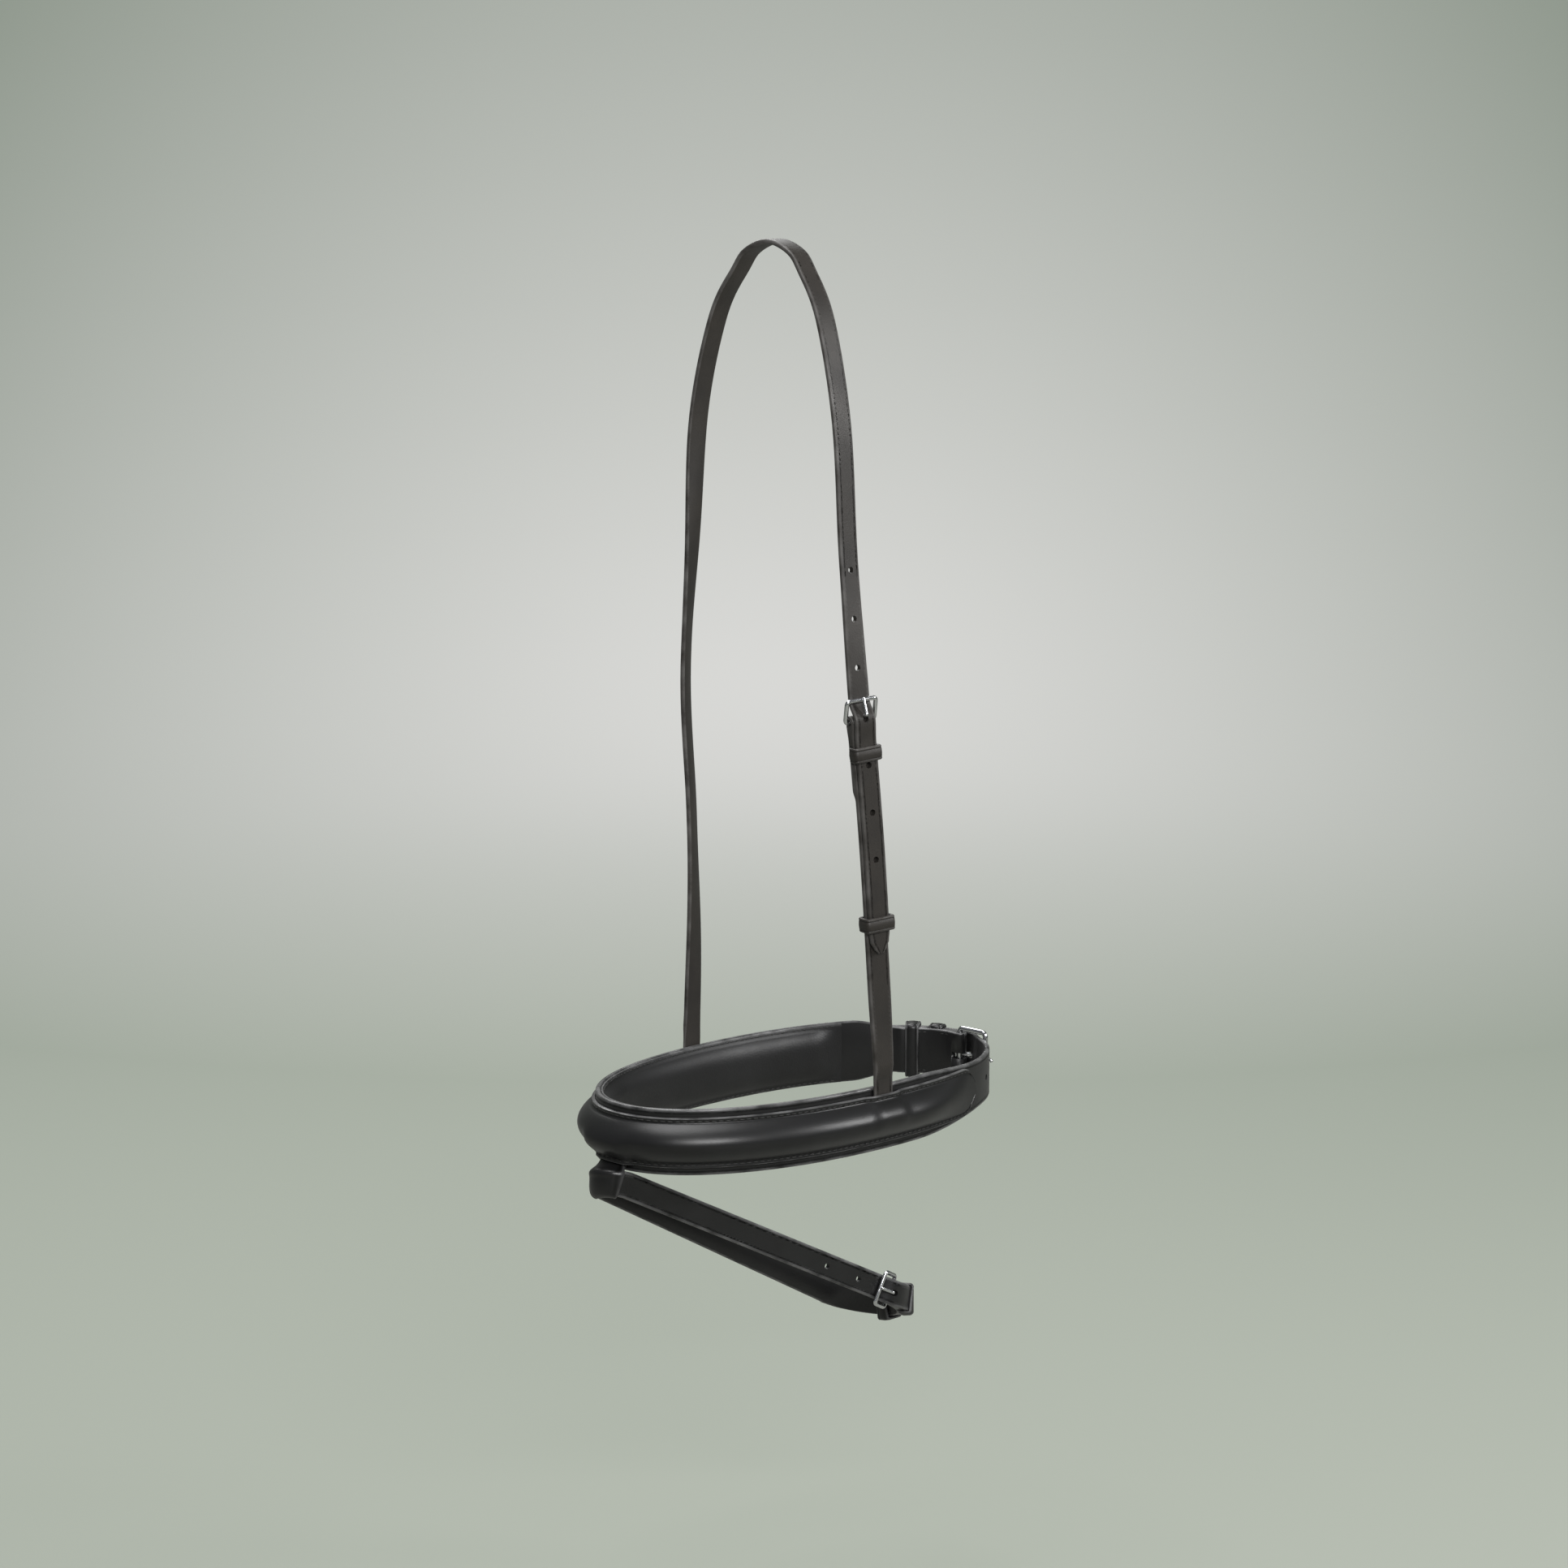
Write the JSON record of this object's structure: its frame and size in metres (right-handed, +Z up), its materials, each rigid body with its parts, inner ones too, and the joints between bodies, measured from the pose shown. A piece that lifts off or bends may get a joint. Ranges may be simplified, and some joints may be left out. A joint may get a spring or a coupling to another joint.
{
  "type": "flash noseband",
  "caption": "Padded bridle noseband on a head strap with a side buckle, and a thin flash strap carried in a tab at its front, all buckled with loops and runners.",
  "frame": {"origin": "underside of the crown of the head strap, where the horse's poll carries it", "axes": "+Z up along the head strap, -Y to the horse's nose, +X to the horse's near (left) side, where the buckle of the cheek strap is"},
  "size_m": [0.159, 0.2789, 0.6066],
  "materials": {
    "black_leather": "black, satin, lightly grained",
    "charcoal_leather": "charcoal, satin, lightly grained",
    "soft_lining_leather": "soft black, dull",
    "core_felt": "pressed grey felt",
    "lining_foam": "grey foam",
    "stainless_steel": "polished stainless steel"
  },
  "bodies": {
    "noseband": {"noseband_base": "black_leather", "noseband_cover": "black_leather", "noseband_core": "core_felt", "noseband_padding": "lining_foam", "noseband_lining": "soft_lining_leather", "jaw_keeper": "black_leather", "headpiece_strap": "charcoal_leather", "cheek_strap": "charcoal_leather", "head_keeper": "charcoal_leather", "flash_tab_root": "black_leather"},
    "head_frame": {"head_buckle_frame": "stainless_steel"},
    "head_tongue": {"head_buckle_tongue": "stainless_steel"},
    "head_slider": {"head_runner": "charcoal_leather"},
    "jaw_frame": {"jaw_buckle_frame": "stainless_steel"},
    "jaw_tongue": {"jaw_buckle_tongue": "stainless_steel"},
    "jaw_slider": {"jaw_runner": "black_leather"},
    "flash": {"flash_tab_loop": "black_leather", "flash_strap": "black_leather", "flash_keeper": "black_leather"},
    "flash_frame": {"flash_buckle_frame": "stainless_steel"},
    "flash_tongue": {"flash_buckle_tongue": "stainless_steel"},
    "flash_slider": {"flash_runner": "black_leather"}
  },
  "joints": [
    {"name": "flash_swing", "type": "hinge", "parent": "noseband", "child": "flash", "pos_m": [-0.00341, -0.12194, -0.47527], "axis": [1, 0, 0], "range_deg": [-60, 2]},
    {"name": "head_frame_tilt", "type": "hinge", "parent": "noseband", "child": "head_frame", "pos_m": [0.06687, -0.00198, -0.24483], "axis": [0.2048, 0.9757, 0.0781], "range_deg": [0, 3]},
    {"name": "head_tongue_lift", "type": "hinge", "parent": "head_frame", "child": "head_tongue", "pos_m": [0.06687, -0.00198, -0.24483], "axis": [0.2048, 0.9757, 0.0781], "range_deg": [0, 3]},
    {"name": "jaw_frame_tilt", "type": "hinge", "parent": "noseband", "child": "jaw_frame", "pos_m": [-0.0005, 0.14598, -0.4596], "axis": [0, 0, 1], "range_deg": [0, 2]},
    {"name": "jaw_tongue_lift", "type": "hinge", "parent": "jaw_frame", "child": "jaw_tongue", "pos_m": [-0.0005, 0.14598, -0.4596], "axis": [0, 0, 1], "range_deg": [0, 2]},
    {"name": "flash_frame_tilt", "type": "hinge", "parent": "flash", "child": "flash_frame", "pos_m": [0.01946, 0.06999, -0.57865], "axis": [0.0332, 0.4544, 0.8902], "range_deg": [0, 3]},
    {"name": "flash_tongue_lift", "type": "hinge", "parent": "flash_frame", "child": "flash_tongue", "pos_m": [0.01946, 0.06999, -0.57865], "axis": [0.0332, 0.4544, 0.8902], "range_deg": [0, 3]},
    {"name": "head_runner_slide", "type": "slide", "parent": "noseband", "child": "head_slider", "axis": [0.0093, 0.0733, -0.9973], "range_m": [-0.012, 0.016]},
    {"name": "jaw_runner_slide", "type": "slide", "parent": "noseband", "child": "jaw_slider", "axis": [-0.7746, -0.6324, 0], "range_m": [-0.004, 0.004]},
    {"name": "flash_runner_slide", "type": "slide", "parent": "flash", "child": "flash_slider", "axis": [-0.9741, -0.1246, -0.1885], "range_m": [-0.001, 0.003]}
  ]
}
